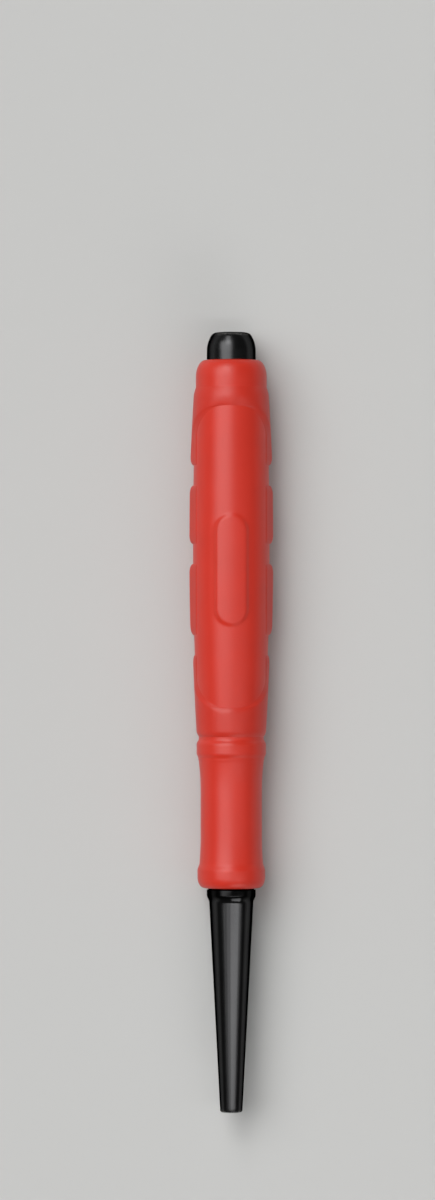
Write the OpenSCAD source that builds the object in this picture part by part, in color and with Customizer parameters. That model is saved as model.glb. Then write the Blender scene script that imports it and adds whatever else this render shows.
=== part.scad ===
// Nail setter: a blackened steel punch held in a two-shot moulded grip.
// Lengths are in millimetres. The tool lies on its back along Y, with the striking head at +Y.
// Every module draws it upright, with the point at zero and the front towards -Y; lay() puts it down.

/* [Punch] */
// Diameter of the round steel bar
bar_d = 8.2; // [7.6:0.1:9]
// Bare bar above the grip, striking face included
head_len = 4.6; // [3:0.1:8]
// Diameter of the flat striking face
strike_d = 6.2; // [4:0.1:7.4]
// Height of the chamfer round the striking face
strike_chamfer_h = 1.9; // [0.5:0.1:2.8]
// Bare bar below the grip, undercut included
root_len = 1.4; // [0.8:0.1:5]
// Height of the shoulder between the bar and the blade
shoulder_h = 0.8; // [0.3:0.1:2]
// Diameter of the blade at the shoulder
blade_root_d = 7.4; // [5.5:0.1:7.5]
// Length of the tapered blade
blade_len = 35.2; // [25:0.1:50]
// Diameter of the point
point_d = 3.7; // [3:0.1:5]
// Diameter of the cup in the point
cup_d = 2.4; // [1.2:0.1:2.8]
// Depth of the cup
cup_depth = 0.5; // [0.2:0.05:0.8]
// Depth of the relief turned into the bar under the grip
relief_depth = 0.25; // [0.1:0.05:0.5]
// Full bar left under the top of the grip
seal_len = 0.6; // [0.3:0.1:2]
// Stretch of that relief left open below the grip
undercut_len = 0.3; // [0.1:0.1:0.6]
// Length of the two flats that stop the grip from turning
flat_len = 24; // [10:1:50]
// Depth of each flat below the relief
flat_depth = 0.6; // [0.2:0.1:1]

/* [Grip sleeve] */
// Diameter of the collar at the top of the sleeve
collar_d = 11.85; // [11:0.05:12.6]
// Length of the collar, crown included
collar_len = 4.5; // [3:0.1:9]
// Width of the crown that rounds the collar's top edge
crown_w = 1.6; // [0.5:0.1:1.7]
// Height of that crown
crown_h = 2.9; // [0.5:0.1:2.9]
// Diameter of the barrel at its widest
barrel_d = 12.8; // [12.1:0.1:14]
// Diameter of the sleeve where the soft skin ends
foot_d = 10.85; // [10:0.05:11.2]
// Width of the seam groove below the soft skin
seam_w = 0.5; // [0.4:0.1:2]
// Diameter of the ridge below the seam
ridge_d = 11.6; // [11:0.05:12]
// Length of the ridge
ridge_len = 3; // [1.5:0.1:4]
// Run of the slopes on both ends of the ridge
ridge_ramp = 0.6; // [0.2:0.1:0.7]
// Diameter at the top of the lead-in to the neck
lead_d = 11; // [10.6:0.1:11.2]
// Length of the lead-in
lead_len = 5.3; // [3:0.1:9]
// Diameter of the neck
neck_d = 10.25; // [9.6:0.05:10.5]
// Length of the straight neck
neck_len = 7.7; // [4:0.1:14]
// Diameter of the flare where it meets the bead
flare_d = 10.6; // [10.5:0.1:11]
// Length of the flare
flare_len = 4.5; // [2:0.1:7]
// Diameter of the bead at the bottom of the sleeve
bead_d = 11.3; // [11.1:0.1:12]
// Length of the bead
bead_len = 4.2; // [3.6:0.1:7]
// Height of the round above the bead's widest line
bead_upper_round = 1.3; // [0.5:0.1:1.4]
// Width of the round on the bead's bottom edge
bead_lower_w = 1.1; // [0.4:0.1:1.3]
// Height of the round on the bead's bottom edge
bead_lower_h = 1.8; // [0.4:0.1:2.2]
// Width of the blank plate on the front
plate_w = 6; // [4:0.1:8]
// Length of the blank plate
plate_len = 19; // [10:0.5:24]
// Height of the plate above the barrel
plate_t = 0.25; // [0.1:0.05:0.5]
// Distance from the top of the window down to the plate
plate_drop = 17.7; // [8:0.1:24]

/* [Soft skin] */
// Length of the upper band along the sides
upper_band_len = 13.1; // [8:0.1:16]
// Length of each upper side pad
upper_pad_len = 9.8; // [6:0.1:14]
// Length of each lower side pad
lower_pad_len = 11.9; // [6:0.1:16]
// Length of the lower band along the sides
lower_band_len = 13.6; // [9:0.1:18]
// Length of the floor of each side notch
notch_len = 3.3; // [1.5:0.1:6]
// Run of the slopes beside each notch
pad_ramp = 1.5; // [0.4:0.1:2]
// Thickness of the skin at the pads
skin_t = 0.6; // [0.3:0.05:1]
// Thickness of the skin along its top edge
edge_t = 0.27; // [0.15:0.01:0.4]
// Run of the slope on that top edge
top_ramp = 1.8; // [0.4:0.1:2.4]
// Thickness of the lower band
lower_t = 0.32; // [0.2:0.01:0.6]
// Run of the slope on the lower band's bottom edge
edge_ramp = 0.4; // [0.2:0.1:1]
// Width of the window in the front and the back of the skin
window_w = 11.4; // [8.4:0.1:11.8]
// Corner radius of the window
window_corner = 5; // [1:0.1:5.6]
// Skin left above the window
window_upper_margin = 3.3; // [1.2:0.1:5]
// Skin left below the window
window_lower_margin = 5; // [2:0.1:8]

/* [Fit] */
// Gap left between one moulded layer and what it grips
bond_gap = 0.02; // [0.01:0.01:0.05]

/* [Hidden] */
$fn = 96;

// How far a cutter runs past what it cuts
overrun = 1;
// Steps along a rounded edge or a bend
round_steps = 12;
// Steps along the barrel
barrel_steps = 24;
// Steps along a band or a pad
skin_steps = 8;
// Sides as seen from the front
LEFT = -1;
RIGHT = 1;

STEEL = [0.09, 0.09, 0.10];
SLEEVE_RED = [0.74, 0.13, 0.10];
SKIN_RED = [0.66, 0.10, 0.08];

bar_r = bar_d / 2;
shank_r = bar_r - relief_depth;
collar_r = collar_d / 2;
barrel_r = barrel_d / 2;
foot_r = foot_d / 2;
ridge_r = ridge_d / 2;
lead_r = lead_d / 2;
neck_r = neck_d / 2;
flare_r = flare_d / 2;
bead_r = bead_d / 2;
cup_sphere_r = (pow(cup_d / 2, 2) + pow(cup_depth, 2)) / (2 * cup_depth);

// Stations along the axis, from the point upwards
shoulder_z = blade_len;
root_z = shoulder_z + shoulder_h;
bead_z = root_z + root_len;
flare_z = bead_z + bead_len;
neck_z = flare_z + flare_len;
lead_z = neck_z + neck_len;
ridge_z = lead_z + lead_len;
seam_z = ridge_z + ridge_len;
skin_z = seam_z + seam_w;
lower_notch_z = skin_z + lower_band_len;
lower_pad_z = lower_notch_z + notch_len;
middle_notch_z = lower_pad_z + lower_pad_len;
upper_pad_z = middle_notch_z + notch_len;
upper_notch_z = upper_pad_z + upper_pad_len;
upper_band_z = upper_notch_z + notch_len;
collar_z = upper_band_z + upper_band_len;
grip_top_z = collar_z + collar_len;
tool_len = grip_top_z + head_len;
widest_z = middle_notch_z + notch_len / 2;
window_z = skin_z + window_lower_margin;
window_len = collar_z - window_upper_margin - window_z;
plate_z = window_z + window_len - plate_drop - plate_len;
// Depth in the sleeve's wall from which the plate rises
plate_root_r = (bar_r + collar_r) / 2;

// Height of the axis when the tool lies on the back of its barrel
axis_h = barrel_r;

// Radius along a run that starts parallel to the axis and bends away from it
function bend(from_r, to_r, share) = from_r + (to_r - from_r) * share * share;

// Radius of the sleeve under the soft skin: widest at the middle notch, slimmer towards both ends
function barrel_at(z) = z > widest_z
    ? bend(barrel_r, collar_r, (z - widest_z) / (collar_z - widest_z))
    : bend(barrel_r, foot_r, (widest_z - z) / (widest_z - skin_z));

// Quarter of an ellipse about a point, between two angles
function round_points(r, z, w, h, from, to) = [
    for (i = [0:round_steps])
        let (a = from + (to - from) * i / round_steps)
        [r + w * cos(a), z + h * sin(a)]
];

// Evenly spaced heights
function heights(from, to, steps) = [for (i = [0:steps]) from + (to - from) * i / steps];

module lay() {
    translate([0, -tool_len / 2, axis_h]) rotate([-90, 0, 0]) children();
}

// Rectangle with round corners, centred across and standing on zero
module rounded_rectangle(w, h, corner) {
    translate([-w / 2 + corner, 0]) square([w - 2 * corner, h]);
    translate([-w / 2, corner]) square([w, h - 2 * corner]);
    for (x = [-w / 2 + corner, w / 2 - corner], y = [corner, h - corner])
        translate([x, y]) circle(corner);
}

// Rectangle with fully round ends, centred across and standing on zero
module long_oval(w, h) {
    translate([-w / 2, w / 2]) square([w, h - w]);
    for (y = [w / 2, h - w / 2])
        translate([0, y]) circle(w / 2);
}

// What is turned and milled off the bar under the grip; grow leaves the cut that much smaller
module shank_cuts(grow) {
    relief_z = bead_z - undercut_len + grow;
    relief_len = grip_top_z - seal_len - grow - relief_z;
    flat_z = (bead_z + grip_top_z - flat_len) / 2 + grow;
    translate([0, 0, relief_z]) difference() {
        cylinder(h = relief_len, r = bar_r + overrun);
        translate([0, 0, -overrun]) cylinder(h = relief_len + 2 * overrun, r = shank_r + grow);
    }
    for (side = [0, 1])
        mirror([side, 0, 0])
            translate([shank_r - flat_depth + grow, -bar_d / 2, flat_z])
                cube([bar_r + overrun, bar_d, flat_len - 2 * grow]);
}

module punch() {
    profile = [
        [0, 0],
        [point_d / 2, 0],
        [blade_root_d / 2, shoulder_z],
        [bar_r, root_z],
        [bar_r, tool_len - strike_chamfer_h],
        [strike_d / 2, tool_len],
        [0, tool_len],
    ];
    color(STEEL) lay() difference() {
        rotate_extrude() polygon(profile);
        shank_cuts(0);
        translate([0, 0, cup_depth - cup_sphere_r]) sphere(cup_sphere_r);
    }
}

// Room for the bar inside the sleeve
module shank_room() {
    difference() {
        translate([0, 0, bead_z - overrun])
            cylinder(h = grip_top_z - bead_z + 2 * overrun, r = bar_r + bond_gap);
        shank_cuts(bond_gap);
    }
}

module grip_sleeve() {
    bead_upper_w = bead_r - flare_r;
    profile = concat(
        [[0, bead_z]],
        round_points(bead_r - bead_lower_w, bead_z + bead_lower_h, bead_lower_w, bead_lower_h, -90, 0),
        round_points(flare_r, flare_z - bead_upper_round, bead_upper_w, bead_upper_round, 0, 90),
        [for (z = heights(flare_z, neck_z, round_steps)) [bend(neck_r, flare_r, (neck_z - z) / flare_len), z]],
        [for (z = heights(lead_z, ridge_z, round_steps)) [bend(neck_r, lead_r, (z - lead_z) / lead_len), z]],
        [[ridge_r, ridge_z + ridge_ramp], [ridge_r, seam_z - ridge_ramp], [foot_r, seam_z]],
        [for (z = heights(skin_z, collar_z, barrel_steps)) [barrel_at(z), z]],
        round_points(collar_r - crown_w, grip_top_z - crown_h, crown_w, crown_h, 0, 90),
        [[0, grip_top_z]]
    );
    color(SLEEVE_RED) lay() difference() {
        union() {
            rotate_extrude() polygon(profile);
            blank_plate();
        }
        shank_room();
    }
}

// Low oval plate on the front of the barrel, left blank
module blank_plate() {
    plate_heights = heights(plate_z - overrun, plate_z + plate_len + overrun, barrel_steps);
    outer = [for (z = plate_heights) [barrel_at(z) + plate_t, z]];
    foot = [[plate_root_r, plate_heights[barrel_steps]], [plate_root_r, plate_heights[0]]];
    intersection() {
        rotate_extrude() polygon(concat(outer, foot));
        translate([0, 0, plate_z]) rotate([90, 0, 0])
            linear_extrude(barrel_r + plate_t + overrun) long_oval(plate_w, plate_len);
    }
}

// Turned ring of skin from one height to another, with a thickness and a sloped run at each end
module skin_ring(from, to, lower_end_t, upper_end_t, lower_ramp, upper_ramp) {
    inner = [for (z = heights(from, to, skin_steps)) [barrel_at(z) + bond_gap, z]];
    outer = [
        for (z = heights(to - upper_ramp, from + lower_ramp, skin_steps))
            [barrel_at(z) + lower_end_t + (upper_end_t - lower_end_t) * (z - from) / (to - from), z]
    ];
    rotate_extrude() polygon(concat(inner, outer));
}

// The windows that leave the sleeve bare on the front and the back
module windows() {
    depth = barrel_r + skin_t + overrun;
    corner = min(window_corner, (window_w - overrun) / 2);
    for (back = [0, 1])
        mirror([0, back, 0]) translate([0, 0, window_z]) rotate([90, 0, 0])
            linear_extrude(depth) rounded_rectangle(window_w, window_len, corner);
}

module upper_band() {
    color(SKIN_RED) lay() difference() {
        skin_ring(upper_band_z, collar_z, skin_t, edge_t, pad_ramp, top_ramp);
        windows();
    }
}

module lower_band() {
    color(SKIN_RED) lay() difference() {
        skin_ring(skin_z, lower_notch_z, lower_t, lower_t, edge_ramp, pad_ramp);
        windows();
    }
}

// Pad on one side of the barrel, between two notches
module side_pad(side, z, pad_len) {
    half_w = barrel_r + skin_t + overrun;
    color(SKIN_RED) lay() intersection() {
        difference() {
            skin_ring(z, z + pad_len, skin_t, skin_t, pad_ramp, pad_ramp);
            windows();
        }
        translate([side * half_w / 2, 0, z + pad_len / 2])
            cube([half_w, 2 * half_w, pad_len + 2 * overrun], center = true);
    }
}

punch();
grip_sleeve();
upper_band();
lower_band();
side_pad(LEFT, upper_pad_z, upper_pad_len);  // left_upper_pad
side_pad(RIGHT, upper_pad_z, upper_pad_len);  // right_upper_pad
side_pad(LEFT, lower_pad_z, lower_pad_len);  // left_lower_pad
side_pad(RIGHT, lower_pad_z, lower_pad_len);  // right_lower_pad
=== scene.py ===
"""Nail setter: a blackened steel punch in a red two-shot grip.

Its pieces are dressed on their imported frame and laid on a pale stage. Lengths are in metres. The tool lies
along Y with its striking head at +Y and the front of its grip up.
"""

import math

import bmesh
import bpy
from mathutils import Matrix, Vector


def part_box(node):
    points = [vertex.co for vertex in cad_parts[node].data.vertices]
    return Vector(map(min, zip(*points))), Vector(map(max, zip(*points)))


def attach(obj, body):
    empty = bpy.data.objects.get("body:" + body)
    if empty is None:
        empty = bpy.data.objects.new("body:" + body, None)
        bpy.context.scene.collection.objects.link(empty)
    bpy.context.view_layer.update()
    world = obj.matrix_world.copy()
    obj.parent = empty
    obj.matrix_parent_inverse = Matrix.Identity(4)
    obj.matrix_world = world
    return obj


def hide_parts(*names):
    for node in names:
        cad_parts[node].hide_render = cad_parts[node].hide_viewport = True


bl_info = {
    "name": "Nail Setter",
    "version": (1, 0, 0),
    "blender": (4, 5, 0),
    "location": "3D View > Sidebar > Nail Setter",
    "description": "Builds a nail setter with a soft-skinned grip, and a plain stage for it",
    "category": "Object",
}

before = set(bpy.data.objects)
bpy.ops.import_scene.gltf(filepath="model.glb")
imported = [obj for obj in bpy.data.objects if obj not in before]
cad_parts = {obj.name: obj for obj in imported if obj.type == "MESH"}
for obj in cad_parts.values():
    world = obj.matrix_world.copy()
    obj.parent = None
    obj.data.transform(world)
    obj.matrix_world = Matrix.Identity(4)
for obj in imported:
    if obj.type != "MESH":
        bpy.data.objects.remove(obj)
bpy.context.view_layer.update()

MM = 0.001

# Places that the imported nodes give
PUNCH_LOW, PUNCH_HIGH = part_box("punch")
SLEEVE_LOW, SLEEVE_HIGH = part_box("grip_sleeve")
UPPER_LOW, UPPER_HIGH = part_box("upper_band")
LOWER_LOW, LOWER_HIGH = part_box("lower_band")
AXIS_H = (PUNCH_LOW.z + PUNCH_HIGH.z) / 2
BAR_R = (PUNCH_HIGH.z - PUNCH_LOW.z) / 2
BARREL_R = (SLEEVE_HIGH.x - SLEEVE_LOW.x) / 2
TIP_Y, HEAD_Y = PUNCH_LOW.y, PUNCH_HIGH.y
FOOT_Y, TOP_Y = SLEEVE_LOW.y, SLEEVE_HIGH.y
SKIN_FOOT_Y, SKIN_TOP_Y = LOWER_LOW.y, UPPER_HIGH.y
PADS = ("left_upper_pad", "right_upper_pad", "left_lower_pad", "right_lower_pad")
# The barrel is widest halfway between the upper and the lower pads
WIDEST_Y = (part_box("left_lower_pad")[1].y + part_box("left_upper_pad")[0].y) / 2

# Points closer than this are welded
WELD = 0.001 * MM
# What counts as lying on the same line
HAIR = 0.0001 * MM
# Steps along a rounded edge
ROUND_STEPS = 10
# Longest stretch of a turned outline, and of the barrel under the skin
OUTLINE_STRETCH = 0.4 * MM
BARREL_STRETCH = 0.25 * MM
# Run of the steep steps turned into the bar and the bore
STEEP_RUN = 0.02 * MM
# How far the edge of the undercut is rounded
UNDERCUT_ROUND = 0.03 * MM
# What stands higher above the bar than this is the outside of the sleeve, where the plate goes
OUTSIDE_RISE = 0.5 * MM
# Share of a grid's steps that is finer towards both ends
EASE_SHARE = 0.8
# Least share of rows that counts as a ring, so that a pad, which has none, isn't divided by zero
LEAST_RING = 0.001

# Inputs of the recipes for the flats and for the plate
MILLING = ("Half Width", "Reach", "Lower", "Upper")
RAISING = ("Width", "Length", "Centre", "Height", "Slope", "Curve")

# Detail of the broad patterns in the finishes
BROAD_DETAIL = 3.0
# How far a finish's colour varies to either side
OXIDE_SPREAD = 0.12
RED_SPREAD = 0.08
PAPER_SPREAD = 0.02
# What the patterns add to the roughness of the oxide and of the red
PATCH_ROUGHNESS = 0.06
MARK_ROUGHNESS = 0.05
CLOUD_ROUGHNESS = 0.06
GRAIN_ROUGHNESS = 0.05
# Height of the oxide's specks against its turning marks, and of the red's clouds against its grain
SPECK_HEIGHT = 0.4
CLOUD_HEIGHT = 10
# Specks of this strength begin to show bare steel, and do so fully
WORN_FROM = 0.35
WORN_TO = 0.65

# Softboxes: name, place, target, width across the tool and height in metres, power in watts
LAMPS = (
    ("key", (-2.04, 1.48, 4.16), (0.0, 0.0, 0.0), 3.96, 3.96, 102.0),
    ("key_wings", (-2.10, 1.53, 4.28), (0.0, 0.0, 0.0), 5.80, 4.10, 106.0),
    ("blade_wide", (0.368, -0.207, 0.88), (0.368, -0.047, 0.0), 2.32, 0.104, 0.78),
    ("blade_middle", (0.336, -0.200, 0.84), (0.336, -0.047, 0.0), 1.44, 0.102, 0.57),
    ("blade_core", (0.300, -0.193, 0.80), (0.300, -0.047, 0.0), 0.72, 0.100, 0.41),
    ("head_fill", (-0.85, 2.50, 2.55), (0.0, 0.0, 0.0), 1.20, 2.00, 24.0),
    ("foot_fill", (1.00, -2.72, 1.48), (0.0, 0.0, 0.0), 2.00, 1.00, 18.0),
)


def length(name, description, mm):
    """A length that a user can change, given in millimetres and kept in metres."""
    return bpy.props.FloatProperty(
        name=name, description=description, default=mm * MM, min=0.0, precision=5, unit="LENGTH"
    )


def share(name, description, value):
    """A share from 0 to 1 that a user can change."""
    return bpy.props.FloatProperty(
        name=name, description=description, default=value, min=0.0, max=1.0, subtype="FACTOR"
    )


def colour(name, description, value):
    """A colour that a user can change, in linear light."""
    return bpy.props.FloatVectorProperty(
        name=name, description=description, default=value, min=0.0, max=1.0, size=3, subtype="COLOR"
    )


def count(name, description, value):
    """A number of copies or steps that a user can change."""
    return bpy.props.IntProperty(name=name, description=description, default=value, min=3)


class PunchSizes(bpy.types.PropertyGroup):
    """Sizes of the steel punch"""

    strike_d: length("Striking face", "Diameter of the flat striking face", 6.2)
    strike_chamfer_h: length("Chamfer", "Height of the chamfer round the striking face", 1.9)
    strike_round: length("Face rounding", "How far the edge of the striking face is rounded", 0.8)
    head_round: length("Head rounding", "How far the chamfer is rounded into the bar", 1.25)
    shoulder_h: length("Shoulder", "Height of the shoulder between the bar and the blade", 0.8)
    shoulder_round: length("Shoulder rounding", "How far the shoulder's edges are rounded", 0.25)
    blade_root_d: length("Blade root", "Diameter of the blade at the shoulder", 7.4)
    blade_len: length("Blade", "Length of the tapered blade", 35.2)
    point_d: length("Point", "Diameter of the point", 3.7)
    point_round: length("Point rounding", "How far the rim of the point is rounded", 0.4)
    cup_d: length("Cup", "Diameter of the cup in the point", 2.4)
    cup_depth: length("Cup depth", "Depth of the cup", 0.5)
    relief_depth: length("Relief", "Depth of the relief turned under the grip", 0.25)
    seal_len: length("Seal", "Full bar left under the top of the grip", 0.6)
    undercut_len: length("Undercut", "Stretch of the relief left open below the grip", 0.3)
    flat_len: length("Flats", "Length of the two flats that stop the grip from turning", 24)
    flat_depth: length("Flat depth", "Depth of each flat below the relief", 0.6)
    segments: count("Segments", "Sides of the turned bar", 144)


class SleeveSizes(bpy.types.PropertyGroup):
    """Sizes of the stiff sleeve"""

    collar_d: length("Collar", "Diameter of the collar at the top", 11.85)
    crown_w: length("Crown width", "Width of the crown that rounds the collar's top edge", 1.6)
    crown_h: length("Crown height", "Height of that crown", 2.9)
    foot_d: length("Barrel foot", "Diameter where the soft skin ends", 10.85)
    seam_w: length("Seam", "Width of the groove below the soft skin", 0.5)
    seam_round: length("Seam rounding", "How far the lower edge of that groove is rounded", 0.24)
    ridge_d: length("Ridge", "Diameter of the ridge below the seam", 11.6)
    ridge_len: length("Ridge length", "Length of the ridge", 3.0)
    ridge_ramp: length("Ridge slopes", "Run of the slopes on both ends of the ridge", 0.6)
    lead_d: length("Lead-in", "Diameter at the top of the lead-in to the neck", 11.0)
    lead_len: length("Lead-in length", "Length of the lead-in", 5.3)
    neck_d: length("Neck", "Diameter of the neck", 10.25)
    neck_len: length("Neck length", "Length of the straight neck", 7.7)
    flare_d: length("Flare", "Diameter of the flare where it meets the bead", 10.6)
    flare_len: length("Flare length", "Length of the flare", 4.5)
    bead_d: length("Bead", "Diameter of the bead at the bottom", 11.3)
    bead_len: length("Bead length", "Length of the bead", 4.2)
    bead_upper_round: length("Bead upper round", "Height of the round above the widest line", 1.3)
    bead_lower_w: length("Bead lower width", "Width of the round on the bottom edge", 1.1)
    bead_lower_h: length("Bead lower height", "Height of the round on the bottom edge", 1.8)
    edge_round: length("Edge rounding", "How far the moulded edges are rounded", 0.30)
    plate_w: length("Plate", "Width of the blank plate on the front", 6.0)
    plate_len: length("Plate length", "Length of the blank plate", 19)
    plate_t: length("Plate height", "Height of the plate above the barrel", 0.25)
    plate_drop: length("Plate drop", "Distance from the top of the window to the plate", 17.7)
    plate_slope: length("Plate slope", "Run of the slope round the plate", 0.7)
    plate_curve: length("Plate curve", "Radius of the plate's face, which is flatter than the barrel", 9.0)
    bond_gap: length("Bond gap", "Gap between the sleeve and the bar", 0.02)
    segments: count("Segments", "Sides of the turned sleeve", 192)


class SkinSizes(bpy.types.PropertyGroup):
    """Sizes of the soft bands and pads"""

    pad_ramp: length("Pad slope", "Run of the slopes beside each notch", 1.5)
    skin_t: length("Pad thickness", "Thickness of the skin at the pads", 0.6)
    edge_t: length("Top edge", "Thickness of the skin along its top edge", 0.27)
    top_ramp: length("Top slope", "Run of the slope on that top edge", 1.8)
    lower_t: length("Lower band", "Thickness of the lower band", 0.32)
    foot_ease: length("Foot slope", "Run over which the lower band's bottom edge is eased in", 1.0)
    window_w: length("Window", "Width of the window in the front and the back", 11.4)
    window_corner: length("Window corner", "Corner radius of the window", 5.0)
    window_upper_margin: length("Upper margin", "Skin left above the window", 3.3)
    window_lower_margin: length("Lower margin", "Skin left below the window", 5.0)
    side_round: length("Band sides", "Run of the bands' rounded edge along the window's sides", 0.2)
    top_round: length("Upper end", "Run of the rounded edge at the top of the window", 2.0)
    foot_round: length("Lower end", "Run of the rounded edge at the foot of the window", 1.1)
    pad_round: length("Pad sides", "Run of the pads' rounded edge along the window", 0.2)
    step_t: length("Window step", "Thickness of the skin along the sides of the window", 0.12)
    swell_join: length("Swell join", "How softly the swelling meets the full thickness", 0.15)
    sink: length("Sink", "How deep the skin's edge is let into the sleeve", 0.04)
    lip: length("Lip", "Thickness of the skin at that edge, below the sleeve's face", 0.01)
    ring_share: share("Ring rows", "Share of a band's rows between its rim and the window", 0.3)
    pad_columns: count("Pad columns", "Grid columns across a pad", 56)
    band_columns: count("Band columns", "Grid columns round half a band", 110)
    rows: count("Rows", "Grid rows along a band or a pad", 71)


class Finishes(bpy.types.PropertyGroup):
    """Colours and textures of the three finishes"""

    steel: colour("Black oxide", "Colour of the blackened steel", (0.045, 0.045, 0.046))
    bare_steel: colour("Bare steel", "Colour where the oxide has worn off an edge", (0.36, 0.35, 0.34))
    plastic: colour("Sleeve red", "Colour of the stiff sleeve", (0.60, 0.028, 0.013))
    rubber: colour("Skin red", "Colour of the soft skin", (0.57, 0.026, 0.012))
    # Painted shade: how bright the oxide is made close under the grip, darkened where the grip's shadow
    # falls on the bar
    shade: share("Shade", "Brightness of the oxide close under the grip", 0.3)
    wear: share("Wear", "How much of the bare steel shows on a worn edge", 0.5)
    blade_roughness: share("Blade roughness", "Least roughness of the blade", 0.10)
    head_roughness: share("Head roughness", "Roughness that the head has more than the blade", 0.09)
    plastic_roughness: share("Sleeve roughness", "Least roughness of the stiff sleeve", 0.32)
    rubber_roughness: share("Skin roughness", "Least roughness of the soft skin", 0.36)
    turning_pitch: length("Turning marks", "Pitch of the fine marks round the bar", 0.12)
    oxide_patch: length("Oxide patches", "Size of the patches in the oxide", 3.5)
    oxide_speck: length("Oxide specks", "Size of the specks in the oxide", 0.25)
    oxide_relief: length("Oxide relief", "Depth of the turning marks and specks", 0.01)
    worn_face: length("Worn face", "Width of the worn rim round the striking face", 0.45)
    worn_head: length("Worn head", "Height of that rim", 0.6)
    worn_point: length("Worn point", "Height of the worn rim at the point", 0.7)
    # Where the painted shade of the grip's shadow on the bar starts, and where it is full
    painted_shade_start: length("Shade start", "Where the shade starts, measured down from the grip", 2.2)
    painted_shade_full: length("Full shade", "Where the shade is full, measured down from the grip", 1.2)
    cloud: length("Flow clouds", "Size of the faint clouds in the red", 7)
    plastic_grain: length("Moulded grain", "Grain of the moulded texture on the sleeve", 0.30)
    plastic_relief: length("Sleeve relief", "Depth of that texture", 0.012)
    rubber_grain: length("Rubber grain", "Grain of the matt texture on the soft skin", 0.22)
    rubber_relief: length("Skin relief", "Depth of that texture", 0.014)


class StageSettings(bpy.types.PropertyGroup):
    """The floor, the lights and the camera"""

    floor: colour("Floor", "Colour of the pale floor", (0.56, 0.56, 0.55))
    floor_size: length("Floor size", "Side of the floor", 9000)
    floor_cloud: length("Floor clouds", "Size of the faint clouds in the floor", 300)
    ceiling: colour("Ceiling", "Even light from above", (0.10, 0.10, 0.10))
    backdrop: colour("Backdrop", "Colour of the backdrop, low down all round", (0.40, 0.40, 0.39))
    backdrop_top: share("Backdrop top", "Height at which the backdrop ends, as a sine", 0.22)
    backdrop_full: share("Full backdrop", "Height below which the backdrop is full, as a sine", 0.12)
    camera_x: length("Camera across", "How far the camera stands left of the tool", 2.30)
    camera_y: length("Camera along", "How far the camera stands towards the head", 20.39)
    camera_rise: length("Camera rise", "Height of the camera above the tool's axis", 900)
    view_len: length("View", "Length that the picture's long side takes in", 200.1)


class NailSetter(bpy.types.PropertyGroup):
    """All settings of the nail setter"""

    punch: bpy.props.PointerProperty(type=PunchSizes, name="Punch", description="Sizes of the punch")
    sleeve: bpy.props.PointerProperty(type=SleeveSizes, name="Sleeve", description="Sizes of the sleeve")
    skin: bpy.props.PointerProperty(type=SkinSizes, name="Skin", description="Sizes of the soft skin")
    finishes: bpy.props.PointerProperty(type=Finishes, name="Finishes", description="Colours and textures")
    stage: bpy.props.PointerProperty(type=StageSettings, name="Stage", description="Floor, light, camera")


class Wire:
    """One output of a node, which can be used in sums like a number."""

    def __init__(self, graph, socket):
        self.graph = graph
        self.socket = socket

    def other(self, name):
        """Another output of the same node."""
        return Wire(self.graph, self.socket.node.outputs[name])

    def math(self, operation, *values):
        return self.graph.math(operation, self, *values)

    def __add__(self, value):
        return self.graph.math("ADD", self, value)

    def __radd__(self, value):
        return self.graph.math("ADD", value, self)

    def __sub__(self, value):
        return self.graph.math("SUBTRACT", self, value)

    def __rsub__(self, value):
        return self.graph.math("SUBTRACT", value, self)

    def __mul__(self, value):
        return self.graph.math("MULTIPLY", self, value)

    def __rmul__(self, value):
        return self.graph.math("MULTIPLY", value, self)

    def __truediv__(self, value):
        return self.graph.math("DIVIDE", self, value)

    def __rtruediv__(self, value):
        return self.graph.math("DIVIDE", value, self)

    def __gt__(self, value):
        return self.graph.math("GREATER_THAN", self, value)

    def __lt__(self, value):
        return self.graph.math("LESS_THAN", self, value)

    def __abs__(self):
        return self.graph.math("ABSOLUTE", self)


class Graph:
    """A node tree that the script fills in."""

    def __init__(self, tree):
        self.tree = tree

    def add(self, kind, settings=None, sockets=None, output=0):
        """Adds a node, with its settings and then its sockets from values or wires.

        It gives one of the node's outputs.
        """
        node = self.tree.nodes.new(kind)
        for name, value in (settings or {}).items():
            setattr(node, name, value)
        for name, value in (sockets or {}).items():
            if isinstance(value, Wire):
                self.tree.links.new(value.socket, node.inputs[name])
            else:
                node.inputs[name].default_value = value
        return Wire(self, node.outputs[output]) if len(node.outputs) else None

    def math(self, operation, *values):
        return self.add("ShaderNodeMath", {"operation": operation}, dict(enumerate(values)))

    def blend(self, factor, first, second):
        """A colour between two colours."""
        return self.add("ShaderNodeMix", {"data_type": "RGBA"}, {0: factor, 6: first, 7: second}, 2)

    def fade(self, value, start, end):
        """A smooth step from 0 at start to 1 at end."""
        limits = {"Value": value, "From Min": start, "From Max": end}
        return self.add("ShaderNodeMapRange", {"interpolation_type": "SMOOTHSTEP"}, limits)

    def split(self, vector):
        """The three parts of a vector."""
        x = self.add("ShaderNodeSeparateXYZ", None, {"Vector": vector}, "X")
        return x, x.other("Y"), x.other("Z")

    def join(self, x, y, z):
        """A vector from its three parts."""
        return self.add("ShaderNodeCombineXYZ", None, {"X": x, "Y": y, "Z": z})


def new_recipe(name, inputs):
    """A geometry node group with named inputs, and those inputs as wires."""
    tree = bpy.data.node_groups.new(name, "GeometryNodeTree")
    for label, kind in inputs.items():
        tree.interface.new_socket(label, in_out="INPUT", socket_type="NodeSocket" + kind)
    tree.interface.new_socket("Geometry", in_out="OUTPUT", socket_type="NodeSocketGeometry")
    graph = Graph(tree)
    first = graph.add("NodeGroupInput")
    return graph, {label: first.other(label) for label in inputs}


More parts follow.
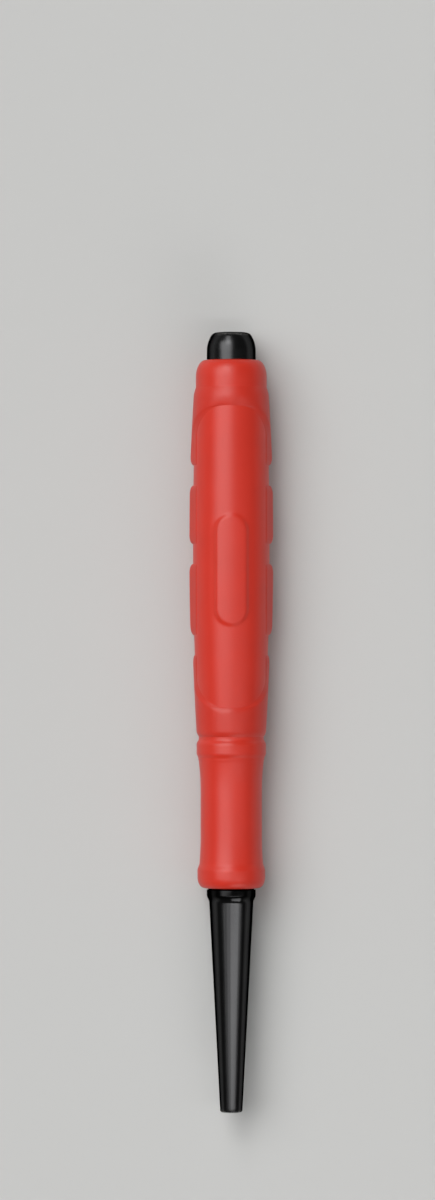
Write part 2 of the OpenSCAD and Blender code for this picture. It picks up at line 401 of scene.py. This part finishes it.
def end_recipe(graph, geometry, material=None):
    """Closes a node group, with a finish where it makes a whole piece."""
    if material:
        solid = graph.add("GeometryNodeRealizeInstances", None, {"Geometry": geometry})
        smooth = graph.add("GeometryNodeSetShadeSmooth", None, {"Geometry": solid})
        geometry = graph.add("GeometryNodeSetMaterial", None, {"Geometry": smooth, "Material": material})
    graph.add("NodeGroupOutput", None, {"Geometry": geometry})
    return graph.tree


def make_piece(name, recipe, inputs, points=()):
    """Runs a recipe and keeps its result as a closed plain mesh, placed in its own vertices."""
    start = bpy.data.meshes.new(name)
    start.from_pydata([(radius, along, 0.0) for radius, along in points], [], [])
    piece = bpy.data.objects.new(name, start)
    bpy.context.scene.collection.objects.link(piece)
    modifier = piece.modifiers.new(recipe.name, "NODES")
    modifier.node_group = recipe
    for item in recipe.interface.items_tree:
        if item.in_out == "INPUT" and item.name in inputs:
            modifier[item.identifier] = inputs[item.name]
    view = bpy.context.evaluated_depsgraph_get()
    made = bpy.data.meshes.new_from_object(piece.evaluated_get(view))
    piece.modifiers.clear()
    piece.data = made
    made.name = name
    bpy.data.meshes.remove(start)
    shell = bmesh.new()
    shell.from_mesh(made)
    bmesh.ops.recalc_face_normals(shell, faces=shell.faces)
    loose = [edge for edge in shell.edges if len(edge.link_faces) != 2]
    shell.to_mesh(made)
    shell.free()
    if loose:
        raise RuntimeError(f"{name} isn't closed: {len(loose)} edges have no two faces")
    return piece


def settle(piece, node):
    """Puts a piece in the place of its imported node."""
    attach(piece, "root")
    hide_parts(node)


def rounded(corners):
    """A profile through corners of radius, place along the tool, and how far the corner is rounded."""
    points = []
    for i, (radius, along, reach) in enumerate(corners):
        here = Vector((radius, along))
        if reach == 0:
            points.append(here)
            continue
        start = here + (Vector(corners[i - 1][:2]) - here).normalized() * reach
        end = here + (Vector(corners[i + 1][:2]) - here).normalized() * reach
        for step in range(ROUND_STEPS + 1):
            t = step / ROUND_STEPS
            points.append(start * (1 - t) ** 2 + here * 2 * t * (1 - t) + end * t**2)
    return points


def oval_arc(radius, along, width, height, first, last):
    """Part of an ellipse about a point, between two angles in degrees."""
    arc = []
    for step in range(ROUND_STEPS + 1):
        angle = math.radians(first + (last - first) * step / ROUND_STEPS)
        arc.append(Vector((radius + width * math.cos(angle), along + height * math.sin(angle))))
    return arc


def divided(points, longest):
    """The same profile, with no stretch longer than given."""
    fine = [points[0]]
    for last, here in zip(points, points[1:]):
        pieces = max(1, math.ceil((here - last).length / longest))
        fine.extend(last.lerp(here, step / pieces) for step in range(1, pieces + 1))
    return fine


def bend(start, end, run):
    """A radius that leaves start level and bends towards end, over a run from 0 to 1."""
    return start + (end - start) * run * run


def s_bend(start, end, run):
    """A radius that leaves start level and reaches end level, over a run from 0 to 1."""
    return start + (end - start) * run * run * (3 - 2 * run)


def barrel_at(along, collar_r, foot_r):
    """Radius of the barrel under the skin, for numbers and for wires: widest at its middle."""
    above = along > WIDEST_Y
    upper = bend(BARREL_R, collar_r, (along - WIDEST_Y) / (SKIN_TOP_Y - WIDEST_Y))
    lower = bend(BARREL_R, foot_r, (WIDEST_Y - along) / (WIDEST_Y - SKIN_FOOT_Y))
    return upper * above + lower * (1 - above)


def eased(run):
    """A run from 0 to 1 whose steps are finer towards both ends."""
    half = EASE_SHARE / 2
    return half - half * (run * math.pi).math("COSINE") + (1 - EASE_SHARE) * run


def floats(labels):
    """Named inputs of a recipe that take numbers."""
    return {label: "Float" for label in labels}


def turning_recipe():
    """Turns a profile about the tool's axis: radius in its X, place along the tool in its Y."""
    graph, given = new_recipe("Turned profile", {"Profile": "Geometry", "Segments": "Int"})
    ring = given["Segments"] + 1
    size = graph.add("GeometryNodeAttributeDomainSize", None, {"Geometry": given["Profile"]}, "Point Count")
    grid = graph.add("GeometryNodeMeshGrid", None, {"Vertices X": size, "Vertices Y": ring}, "Mesh")
    index = graph.add("GeometryNodeInputIndex")
    row = (index / ring).math("FLOOR")
    turn = (index - row * ring) / given["Segments"] * math.tau
    place = graph.add("GeometryNodeInputPosition")
    sources = {"Geometry": given["Profile"], "Value": place, "Index": row}
    corner = graph.add("GeometryNodeSampleIndex", {"data_type": "FLOAT_VECTOR"}, sources)
    radius, along, _ = graph.split(corner)
    turned = graph.join(radius * turn.math("SINE"), along, AXIS_H + radius * turn.math("COSINE"))
    moved = graph.add("GeometryNodeSetPosition", None, {"Geometry": grid, "Position": turned})
    welded = graph.add("GeometryNodeMergeByDistance", None, {"Geometry": moved, "Distance": WELD})
    return end_recipe(graph, welded)


def flats_recipe():
    """Flattens two sides of what lies within a reach of the axis, between two places along it."""
    graph, given = new_recipe("Milled flats", {"Geometry": "Geometry", **floats(MILLING)})
    x, y, z = graph.split(graph.add("GeometryNodeInputPosition"))
    off_axis = (x * x + (z - AXIS_H) * (z - AXIS_H)).math("SQRT")
    milled = (y > given["Lower"]) * (y < given["Upper"]) * (off_axis < given["Reach"])
    level = x.math("MINIMUM", given["Half Width"]).math("MAXIMUM", given["Half Width"] * -1)
    sockets = {"Geometry": given["Geometry"], "Selection": milled, "Position": graph.join(level, y, z)}
    return end_recipe(graph, graph.add("GeometryNodeSetPosition", None, sockets))


def plate_recipe():
    """Raises a long oval plate, flatter than the barrel, with a soft slope round it."""
    graph, given = new_recipe("Blank plate", {"Geometry": "Geometry", **floats(RAISING)})
    x, y, z = graph.split(graph.add("GeometryNodeInputPosition"))
    up = z - AXIS_H
    off_axis = (x * x + up * up).math("SQRT")
    half = given["Width"] / 2
    past = (abs(y - given["Centre"]) - (given["Length"] / 2 - half)).math("MAXIMUM", 0.0)
    inside = half - (x * x + past * past).math("SQRT")
    face = off_axis + given["Height"] - x * x / (given["Curve"] * 2)
    rise = graph.fade(inside, 0.0, given["Slope"]) * (face - up) * (up > BAR_R + OUTSIDE_RISE)
    offset = graph.join(0.0, 0.0, rise)
    raised = graph.add("GeometryNodeSetPosition", None, {"Geometry": given["Geometry"], "Offset": offset})
    return end_recipe(graph, raised)


def turned_recipe(name, steps):
    """A whole turned piece, worked on in steps, each a recipe and the labels of its inputs."""
    sizes = floats(label for _, labels in steps for label in labels)
    inputs = {"Profile": "Geometry", "Segments": "Int", **sizes, "Finish": "Material"}
    graph, given = new_recipe(name, inputs)
    turning = {"Profile": given["Profile"], "Segments": given["Segments"]}
    shape = graph.add("GeometryNodeGroup", {"node_tree": turning_recipe()}, turning)
    for recipe, labels in steps:
        sockets = {"Geometry": shape, **{label: given[label] for label in labels}}
        shape = graph.add("GeometryNodeGroup", {"node_tree": recipe}, sockets)
    return end_recipe(graph, shape, given["Finish"])


def skin_recipe():
    """Soft skin on the barrel, on one side or both: a ring from Start to Middle, then a tongue to End.

    The skin leaves a window with round corners bare on the front and the back. Beside the window it starts
    low, runs on level with the barrel's edge there, and so swells to its full thickness at the sides.
    """
    places = ("Start", "Middle", "End", "Ring Share", "Collar Radius", "Foot Radius")
    window = ("Window Foot", "Window Top", "Window Width", "Window Corner", "Window Step")
    walls = ("Start Thickness", "End Thickness", "Swell Join", "Sink", "Lip")
    edges = ("Start Slope", "Start Ease", "End Slope", "Side Round", "End Round")
    sizes = floats(places + window + walls + edges)
    counts = {"Columns": "Int", "Rows": "Int", "Left": "Bool", "Right": "Bool"}
    graph, given = new_recipe("Soft skin", {**sizes, **counts, "Finish": "Material"})
    grid = {"Size": (2.0, 2.0, 2.0), "Vertices X": given["Columns"], "Vertices Y": given["Rows"]}
    slab = graph.add("GeometryNodeMeshCube", None, {**grid, "Vertices Z": 2}, "Mesh")
    across, up, layer = graph.split(graph.add("GeometryNodeInputPosition"))

    # Place along the tool
    run = up * 0.5 + 0.5
    in_ring = run < given["Ring Share"]
    ring_run = eased(run / given["Ring Share"].math("MAXIMUM", LEAST_RING))
    tongue_run = eased((run - given["Ring Share"]) / (1 - given["Ring Share"]))
    ring_y = given["Start"] + (given["Middle"] - given["Start"]) * ring_run
    tongue_y = given["Middle"] + (given["End"] - given["Middle"]) * tongue_run
    y = ring_y * in_ring + tongue_y * (1 - in_ring)
    radius = barrel_at(y, given["Collar Radius"], given["Foot Radius"])

    # Angle from the front, which starts at the window's edge
    half_w = given["Window Width"] / 2
    half_h = (given["Window Top"] - given["Window Foot"]) / 2
    corner = given["Window Corner"]
    off_centre = abs(y - (given["Window Top"] + given["Window Foot"]) / 2)
    past = (off_centre - (half_h - corner)).math("MAXIMUM", 0.0)
    corner_x = (corner * corner - past * past).math("MAXIMUM", 0.0).math("SQRT")
    open_x = (off_centre < half_h + HAIR) * (half_w - corner + corner_x)
    open_angle = (open_x / radius).math("ARCSINE")
    angle = open_angle + eased(across * 0.5 + 0.5) * (math.pi - 2 * open_angle)

    # Height, which falls off in a round or a soft slope at each edge
    over_x = radius * angle.math("SINE") - (half_w - corner)
    over_y = off_centre - (half_h - corner)
    past_x, past_y = over_x.math("MAXIMUM", 0.0), over_y.math("MAXIMUM", 0.0)
    outside = (past_x * past_x + past_y * past_y).math("SQRT")
    from_window = outside + over_x.math("MAXIMUM", over_y).math("MINIMUM", 0.0) - corner
    endwise = past_y / outside.math("MAXIMUM", HAIR)
    edge_run = given["Side Round"] + (given["End Round"] - given["Side Round"]) * endwise
    at_window = (1 - from_window / edge_run).math("MAXIMUM", 0.0)
    at_start = (1 - abs(y - given["Start"]) / given["Start Slope"]).math("MAXIMUM", 0.0)
    at_end = (1 - abs(y - given["End"]) / given["End Slope"]).math("MAXIMUM", 0.0)
    ramp = 1 - at_start * at_start
    edge = 1 - at_window * at_window
    crown = edge * edge.math("POWER", endwise) * ramp * ramp.math("POWER", given["Start Ease"])
    crown *= 1 - at_end * at_end
    level = (y - given["Start"]) / (given["End"] - given["Start"])
    thickness = given["Start Thickness"] + (given["End Thickness"] - given["Start Thickness"]) * level
    from_side = radius * (math.pi / 2 - open_angle - abs(angle - math.pi / 2))
    swell = given["Window Step"] + from_side * from_side / (radius * 2) + (off_centre > half_h)
    wall = thickness.math("SMOOTH_MIN", swell, given["Swell Join"])
    cover = given["Lip"] + crown.math("SQRT") * (wall + given["Sink"] - given["Lip"])
    rise = (layer > 0.0) * cover - given["Sink"]
    reach = radius + rise
    laid = graph.join(reach * angle.math("SINE"), y, AXIS_H + reach * angle.math("COSINE"))
    right = graph.add("GeometryNodeSetPosition", None, {"Geometry": slab, "Position": laid})
    mirror = {"Geometry": right, "Scale": (-1.0, 1.0, 1.0)}
    left = graph.add("GeometryNodeTransform", None, mirror)

    # The halves of a ring are joined where they meet in the middle
    skin = graph.add("GeometryNodeJoinGeometry")
    for side, half in (("Right", right), ("Left", left)):
        wanted = graph.add(
            "GeometryNodeSwitch", {"input_type": "GEOMETRY"}, {"Switch": given[side], "True": half}
        )
        graph.tree.links.new(wanted.socket, skin.socket.node.inputs[0])
    middle = abs(graph.split(graph.add("GeometryNodeInputPosition"))[0]) < HAIR
    cut = graph.add(
        "GeometryNodeDeleteGeometry", {"domain": "FACE"}, {"Geometry": skin, "Selection": middle}
    )
    welded = graph.add("GeometryNodeMergeByDistance", None, {"Geometry": cut, "Distance": WELD})
    return end_recipe(graph, welded, given["Finish"])


def new_finish(name):
    """An empty material and its graph."""
    material = bpy.data.materials.new(name)
    material.use_nodes = True
    material.node_tree.nodes.clear()
    return material, Graph(material.node_tree)


def opaque(rgb, shade=1.0):
    """A property's colour as a socket takes it, made lighter or darker."""
    return (rgb[0] * shade, rgb[1] * shade, rgb[2] * shade, 1.0)


def noise(graph, place, size, detail=2.0):
    """Soft spots of about the given size, from 0 to 1."""
    return graph.add("ShaderNodeTexNoise", None, {"Vector": place, "Scale": 1 / size, "Detail": detail})


def varied(graph, factor, rgb, spread):
    """A colour that goes from a darker to a lighter shade with a factor."""
    return graph.blend(factor, opaque(rgb, 1 - spread), opaque(rgb, 1 + spread))


def black_oxide(finishes, sizes):
    """Satin blackened steel: fine turning marks, an uneven oxide, edges with some bare steel, and painted
    shade close under the grip.
    """
    material, graph = new_finish("black_oxide_steel")
    place = graph.add("ShaderNodeTexCoord", output="Object")
    x, y, z = graph.split(place)
    off_axis = (x * x + (z - AXIS_H) * (z - AXIS_H)).math("SQRT")
    pitch = {"W": y / finishes.turning_pitch, "Scale": 1.0, "Detail": BROAD_DETAIL}
    marks = graph.add("ShaderNodeTexNoise", {"noise_dimensions": "1D"}, pitch)
    patches = noise(graph, place, finishes.oxide_patch, BROAD_DETAIL)
    specks = noise(graph, place, finishes.oxide_speck)

    # Bare steel on the rim of the striking face and of the point
    from_rim = abs(off_axis - sizes.strike_d / 2)
    strike_rim = graph.fade(from_rim, finishes.worn_face, 0.0) * (y > HEAD_Y - finishes.worn_head)
    point_rim = graph.fade(y, TIP_Y + finishes.worn_point, TIP_Y)
    rims = (strike_rim + point_rim).math("MINIMUM", 1.0)
    worn = rims * graph.fade(specks, WORN_FROM, WORN_TO) * finishes.wear

    # Painted shade: the oxide is darkened close under the grip, where the grip's shadow falls on the bar
    painted_shade_mask = graph.fade(y, FOOT_Y - finishes.painted_shade_start, FOOT_Y - finishes.painted_shade_full) * (y < TOP_Y)
    oxide = varied(graph, patches, finishes.steel, OXIDE_SPREAD)
    oxide_with_painted_shade = graph.blend(painted_shade_mask, oxide, opaque(finishes.steel, finishes.shade))
    tint = graph.blend(worn, oxide_with_painted_shade, opaque(finishes.bare_steel))
    polish = finishes.blade_roughness + finishes.head_roughness * (y > TOP_Y)
    roughness = polish + PATCH_ROUGHNESS * patches + MARK_ROUGHNESS * marks
    height = marks + SPECK_HEIGHT * specks
    relief = {"Strength": 0.15, "Distance": finishes.oxide_relief, "Height": height}
    shell = graph.add(
        "ShaderNodeBsdfPrincipled",
        None,
        {
            "Base Color": tint,
            "Metallic": 1.0,
            "Roughness": roughness,
            "Specular Tint": (0.1, 0.1, 0.1, 1.0),
            "Normal": graph.add("ShaderNodeBump", None, relief),
        },
    )
    graph.add("ShaderNodeOutputMaterial", None, {"Surface": shell})
    return material


def moulded_red(name, rgb, cloud_size, grain_size, roughness, relief_depth):
    """Moulded red: a fine grain, faint flow clouds and a gloss that varies with both."""
    material, graph = new_finish(name)
    place = graph.add("ShaderNodeTexCoord", output="Object")
    grain = noise(graph, place, grain_size)
    clouds = noise(graph, place, cloud_size, BROAD_DETAIL)
    tint = varied(graph, clouds, rgb, RED_SPREAD)
    gloss = roughness + CLOUD_ROUGHNESS * clouds + GRAIN_ROUGHNESS * grain
    relief = {"Strength": 0.5, "Distance": relief_depth, "Height": grain + CLOUD_HEIGHT * clouds}
    shell = graph.add(
        "ShaderNodeBsdfPrincipled",
        None,
        {
            "Base Color": tint,
            "Roughness": gloss,
            "IOR": 1.49,
            "Normal": graph.add("ShaderNodeBump", None, relief),
        },
    )
    graph.add("ShaderNodeOutputMaterial", None, {"Surface": shell})
    return material


def pale_paper(rgb, cloud_size):
    """Matt pale paper for the floor."""
    material, graph = new_finish("pale_paper")
    place = graph.add("ShaderNodeTexCoord", output="Object")
    tint = varied(graph, noise(graph, place, cloud_size), rgb, PAPER_SPREAD)
    shell = graph.add(
        "ShaderNodeBsdfPrincipled", None, {"Base Color": tint, "Roughness": 0.95, "Specular IOR Level": 0.1}
    )
    graph.add("ShaderNodeOutputMaterial", None, {"Surface": shell})
    return material


def studio(settings):
    """A dim ceiling over a pale backdrop that stands far off, low down all round."""
    world = bpy.data.worlds.new("studio")
    world.use_nodes = True
    world.node_tree.nodes.clear()
    graph = Graph(world.node_tree)
    _, _, rise = graph.split(graph.add("ShaderNodeTexCoord", output="Generated"))
    low_down = graph.fade(rise, settings.backdrop_top, settings.backdrop_full)
    light = graph.blend(low_down, opaque(settings.ceiling), opaque(settings.backdrop))
    glow = graph.add("ShaderNodeBackground", None, {"Color": light})
    graph.add("ShaderNodeOutputWorld", None, {"Surface": glow})
    return world


def flat_range(sizes):
    """Where the flats start and end along the bar."""
    middle = (FOOT_Y + TOP_Y) / 2
    return middle - sizes.flat_len / 2, middle + sizes.flat_len / 2


def punch_profile(sizes):
    """Half outline of the punch from the bottom of its cup to its striking face."""
    cup_r, shank_r = sizes.cup_d / 2, BAR_R - sizes.relief_depth
    ball = (cup_r**2 + sizes.cup_depth**2) / (2 * sizes.cup_depth)
    shoulder_y = TIP_Y + sizes.blade_len
    root_y = shoulder_y + sizes.shoulder_h
    relief_y = FOOT_Y - sizes.undercut_len
    seal_y = TOP_Y - sizes.seal_len
    lower_flat, upper_flat = flat_range(sizes)
    lip = math.degrees(math.acos(cup_r / ball))
    cup = oval_arc(0.0, TIP_Y + sizes.cup_depth - ball, ball, ball, 90.0, lip)
    corners = [
        (cup_r, TIP_Y, 0.0),
        (sizes.point_d / 2, TIP_Y, sizes.point_round),
        (sizes.blade_root_d / 2, shoulder_y, sizes.shoulder_round),
        (BAR_R, root_y, sizes.shoulder_round),
        (BAR_R, relief_y, UNDERCUT_ROUND),
        (shank_r, relief_y + STEEP_RUN, 0.0),
        (shank_r, lower_flat - STEEP_RUN, 0.0),
        (shank_r, lower_flat + STEEP_RUN, 0.0),
        (shank_r, upper_flat - STEEP_RUN, 0.0),
        (shank_r, upper_flat + STEEP_RUN, 0.0),
        (shank_r, seal_y - STEEP_RUN, 0.0),
        (BAR_R, seal_y, 0.0),
        (BAR_R, HEAD_Y - sizes.strike_chamfer_h, sizes.head_round),
        (sizes.strike_d / 2, HEAD_Y, sizes.strike_round),
        (0.0, HEAD_Y, 0.0),
    ]
    return divided(cup[:-1] + rounded(corners), OUTLINE_STRETCH)


def sleeve_profile(sizes, punch):
    """Closed half section of the sleeve: up its outside, from the bead to the crown, and down its bore."""
    bead_r, flare_r, neck_r = sizes.bead_d / 2, sizes.flare_d / 2, sizes.neck_d / 2
    lead_r, ridge_r = sizes.lead_d / 2, sizes.ridge_d / 2
    foot_r, collar_r = sizes.foot_d / 2, sizes.collar_d / 2
    flare_y = FOOT_Y + sizes.bead_len
    neck_y = flare_y + sizes.flare_len
    lead_y = neck_y + sizes.neck_len
    ridge_y = lead_y + sizes.lead_len
    seam_y = ridge_y + sizes.ridge_len
    ramp, soft = sizes.ridge_ramp, sizes.edge_round
    bore_r = BAR_R - punch.relief_depth + sizes.bond_gap
    steps = [step / ROUND_STEPS for step in range(ROUND_STEPS + 1)]
    bead_w, bead_h, bead_rise = sizes.bead_lower_w, sizes.bead_lower_h, sizes.bead_upper_round
    bead = oval_arc(bead_r - bead_w, FOOT_Y + bead_h, bead_w, bead_h, -90, 0)
    upper_bead = [Vector((s_bend(bead_r, flare_r, t), flare_y - bead_rise * (1 - t))) for t in steps]
    flare = [Vector((bend(neck_r, flare_r, 1 - t), flare_y + sizes.flare_len * t)) for t in steps]
    lead = [Vector((bend(neck_r, lead_r, t), lead_y + sizes.lead_len * t)) for t in steps[:-1]]
    ridge = rounded(
        [
            (lead_r, ridge_y - soft, 0.0),
            (lead_r, ridge_y, soft),
            (ridge_r, ridge_y + ramp, soft),
            (ridge_r, seam_y - ramp, soft),
            (foot_r, seam_y, sizes.seam_round),
            (foot_r, seam_y + sizes.seam_w / 2, 0.0),
        ]
    )
    rows = math.ceil((SKIN_TOP_Y - SKIN_FOOT_Y) / BARREL_STRETCH)
    barrel = []
    for row in range(rows + 1):
        along = SKIN_FOOT_Y + (SKIN_TOP_Y - SKIN_FOOT_Y) * row / rows
        barrel.append(Vector((barrel_at(along, collar_r, foot_r), along)))
    crown_w, crown_h = sizes.crown_w, sizes.crown_h
    crown = oval_arc(collar_r - crown_w, TOP_Y - crown_h, crown_w, crown_h, 0, 90)
    outline = bead + upper_bead + flare + lead + ridge[1:] + barrel + crown
    outside = divided(outline, OUTLINE_STRETCH)
    lower_flat, upper_flat = flat_range(punch)
    seal_y = TOP_Y - punch.seal_len
    bore = [
        Vector((BAR_R + sizes.bond_gap, TOP_Y)),
        Vector((BAR_R + sizes.bond_gap, seal_y)),
        Vector((bore_r, seal_y - STEEP_RUN)),
        Vector((bore_r, upper_flat + STEEP_RUN)),
        Vector((bore_r, upper_flat - STEEP_RUN)),
        Vector((bore_r, lower_flat + STEEP_RUN)),
        Vector((bore_r, lower_flat - STEEP_RUN)),
        Vector((bore_r, FOOT_Y)),
    ]
    return outside + bore + outside[:1]


class NAILSETTER_OT_punch(bpy.types.Operator):
    """Builds the blackened steel punch"""

    bl_idname = "nail_setter.punch"
    bl_label = "Punch"

    def execute(self, context):
        tool = context.scene.nail_setter
        sizes = tool.punch
        lower, upper = flat_range(sizes)
        inputs = {
            "Segments": sizes.segments,
            "Half Width": BAR_R - sizes.relief_depth - sizes.flat_depth,
            "Reach": BAR_R,
            "Lower": lower,
            "Upper": upper,
            "Finish": black_oxide(tool.finishes, sizes),
        }
        recipe = turned_recipe("Steel punch", [(flats_recipe(), MILLING)])
        piece = make_piece("steel_punch", recipe, inputs, punch_profile(sizes))
        settle(piece, "punch")
        return {"FINISHED"}


class NAILSETTER_OT_sleeve(bpy.types.Operator):
    """Builds the stiff red sleeve"""

    bl_idname = "nail_setter.sleeve"
    bl_label = "Grip Sleeve"

    def execute(self, context):
        tool = context.scene.nail_setter
        sizes, punch, skin = tool.sleeve, tool.punch, tool.skin
        lower, upper = flat_range(punch)
        plate_top = SKIN_TOP_Y - skin.window_upper_margin - sizes.plate_drop
        finishes = tool.finishes
        inputs = {
            "Segments": sizes.segments,
            "Half Width": BAR_R - punch.relief_depth - punch.flat_depth + sizes.bond_gap,
            "Reach": BAR_R,
            "Lower": lower,
            "Upper": upper,
            "Width": sizes.plate_w,
            "Length": sizes.plate_len,
            "Centre": plate_top - sizes.plate_len / 2,
            "Height": sizes.plate_t,
            "Slope": sizes.plate_slope,
            "Curve": sizes.plate_curve,
            "Finish": moulded_red(
                "satin_red_plastic",
                finishes.plastic,
                finishes.cloud,
                finishes.plastic_grain,
                finishes.plastic_roughness,
                finishes.plastic_relief,
            ),
        }
        recipe = turned_recipe("Grip sleeve", [(flats_recipe(), MILLING), (plate_recipe(), RAISING)])
        piece = make_piece("red_sleeve", recipe, inputs, sleeve_profile(sizes, punch))
        settle(piece, "grip_sleeve")
        return {"FINISHED"}


class NAILSETTER_OT_skin(bpy.types.Operator):
    """Builds the soft bands and side pads"""

    bl_idname = "nail_setter.skin"
    bl_label = "Soft Skin"

    def execute(self, context):
        tool = context.scene.nail_setter
        skin, sleeve, finishes = tool.skin, tool.sleeve, tool.finishes
        window_foot = SKIN_FOOT_Y + skin.window_lower_margin
        window_top = SKIN_TOP_Y - skin.window_upper_margin
        shared = {
            "Window Foot": window_foot,
            "Window Top": window_top,
            "Window Width": skin.window_w,
            "Window Corner": skin.window_corner,
            "Window Step": skin.step_t,
            "Swell Join": skin.swell_join,
            "Sink": skin.sink,
            "Lip": skin.lip,
            "Collar Radius": sleeve.collar_d / 2,
            "Foot Radius": sleeve.foot_d / 2,
            "Rows": skin.rows,
            "Finish": moulded_red(
                "soft_red_rubber",
                finishes.rubber,
                finishes.cloud,
                finishes.rubber_grain,
                finishes.rubber_roughness,
                finishes.rubber_relief,
            ),
        }
        band = {
            "Ring Share": skin.ring_share,
            "Columns": skin.band_columns,
            "Start Ease": 1.0,
            "End Slope": skin.pad_ramp,
            "Side Round": skin.side_round,
            "Left": True,
            "Right": True,
        }
        upper = {
            "Start": SKIN_TOP_Y,
            "Middle": window_top,
            "End": UPPER_LOW.y,
            "Start Thickness": skin.edge_t,
            "End Thickness": skin.skin_t,
            "Start Slope": skin.top_ramp,
            "End Round": skin.top_round,
        }
        lower = {
            "Start": SKIN_FOOT_Y,
            "Middle": window_foot,
            "End": LOWER_HIGH.y,
            "Start Thickness": skin.lower_t,
            "End Thickness": skin.lower_t,
            "Start Slope": skin.foot_ease,
            "End Round": skin.foot_round,
        }
        recipe = skin_recipe()
        for node, places in (("upper_band", upper), ("lower_band", lower)):
            piece = make_piece("soft_" + node, recipe, {**shared, **band, **places})
            settle(piece, node)
        for node in PADS:
            low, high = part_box(node)
            pad = {
                "Start": low.y,
                "Middle": low.y,
                "End": high.y,
                "Ring Share": 0.0,
                "Start Thickness": skin.skin_t,
                "End Thickness": skin.skin_t,
                "Start Slope": skin.pad_ramp,
                "Start Ease": 0.0,
                "End Slope": skin.pad_ramp,
                "Side Round": skin.pad_round,
                "End Round": skin.pad_round,
                "Columns": skin.pad_columns,
                "Left": low.x < 0,
                "Right": low.x > 0,
            }
            piece = make_piece("soft_" + node, recipe, {**shared, **pad})
            settle(piece, node)
        return {"FINISHED"}


def add_softbox(name, place, target, width, height, watts):
    """A soft rectangular lamp aimed at a point, with its width across the tool."""
    lamp = bpy.data.lights.new(name, "AREA")
    lamp.shape = "RECTANGLE"
    lamp.size, lamp.size_y = width, height
    lamp.energy = watts
    box = bpy.data.objects.new(name, lamp)
    box.location = place
    back = (box.location - Vector(target)).normalized()
    across = (Vector((1.0, 0.0, 0.0)) - back * back.x).normalized()
    box.rotation_euler = Matrix((across, back.cross(across), back)).transposed().to_euler()
    box.visible_camera = False
    bpy.context.scene.collection.objects.link(box)


class NAILSETTER_OT_stage(bpy.types.Operator):
    """Builds the floor, the lights and the camera"""

    bl_idname = "nail_setter.stage"
    bl_label = "Stage"

    def execute(self, context):
        settings = context.scene.nail_setter.stage
        scene = context.scene
        half = settings.floor_size / 2
        sheet = bpy.data.meshes.new("floor")
        corners = [(-half, -half, 0), (half, -half, 0), (half, half, 0), (-half, half, 0)]
        sheet.from_pydata(corners, [], [(0, 1, 2, 3)])
        sheet.materials.append(pale_paper(settings.floor, settings.floor_cloud))
        floor = bpy.data.objects.new("floor", sheet)
        scene.collection.objects.link(floor)

        scene.world = studio(settings)
        for lamp in LAMPS:
            add_softbox(*lamp)

        lens = bpy.data.cameras.new("camera")
        lens.lens = lens.sensor_width * settings.camera_rise / settings.view_len
        camera = bpy.data.objects.new("camera", lens)
        camera.location = (-settings.camera_x, settings.camera_y, AXIS_H + settings.camera_rise)
        scene.collection.objects.link(camera)
        scene.camera = camera
        scene.view_settings.view_transform = "Standard"
        return {"FINISHED"}


class NAILSETTER_PT_tool(bpy.types.Panel):
    """Sizes, finishes and pieces of the nail setter"""

    bl_label = "Nail Setter"
    bl_space_type = "VIEW_3D"
    bl_region_type = "UI"
    bl_category = "Nail Setter"

    def draw(self, context):
        tool = context.scene.nail_setter
        for group, operator in (
            (tool.punch, NAILSETTER_OT_punch),
            (tool.sleeve, NAILSETTER_OT_sleeve),
            (tool.skin, NAILSETTER_OT_skin),
            (tool.finishes, None),
            (tool.stage, NAILSETTER_OT_stage),
        ):
            column = self.layout.column()
            for name in group.__annotations__:
                column.prop(group, name)
            if operator:
                column.operator(operator.bl_idname)


CLASSES = (
    PunchSizes,
    SleeveSizes,
    SkinSizes,
    Finishes,
    StageSettings,
    NailSetter,
    NAILSETTER_OT_punch,
    NAILSETTER_OT_sleeve,
    NAILSETTER_OT_skin,
    NAILSETTER_OT_stage,
    NAILSETTER_PT_tool,
)


def register():
    for cls in CLASSES:
        bpy.utils.register_class(cls)
    bpy.types.Scene.nail_setter = bpy.props.PointerProperty(
        type=NailSetter, name="Nail Setter", description="All settings of the nail setter"
    )


def unregister():
    del bpy.types.Scene.nail_setter
    for cls in reversed(CLASSES):
        bpy.utils.unregister_class(cls)


def main():
    """Builds the whole scene."""
    register()
    bpy.ops.nail_setter.stage()
    bpy.ops.nail_setter.punch()
    bpy.ops.nail_setter.sleeve()
    bpy.ops.nail_setter.skin()


if __name__ == "__main__":
    main()
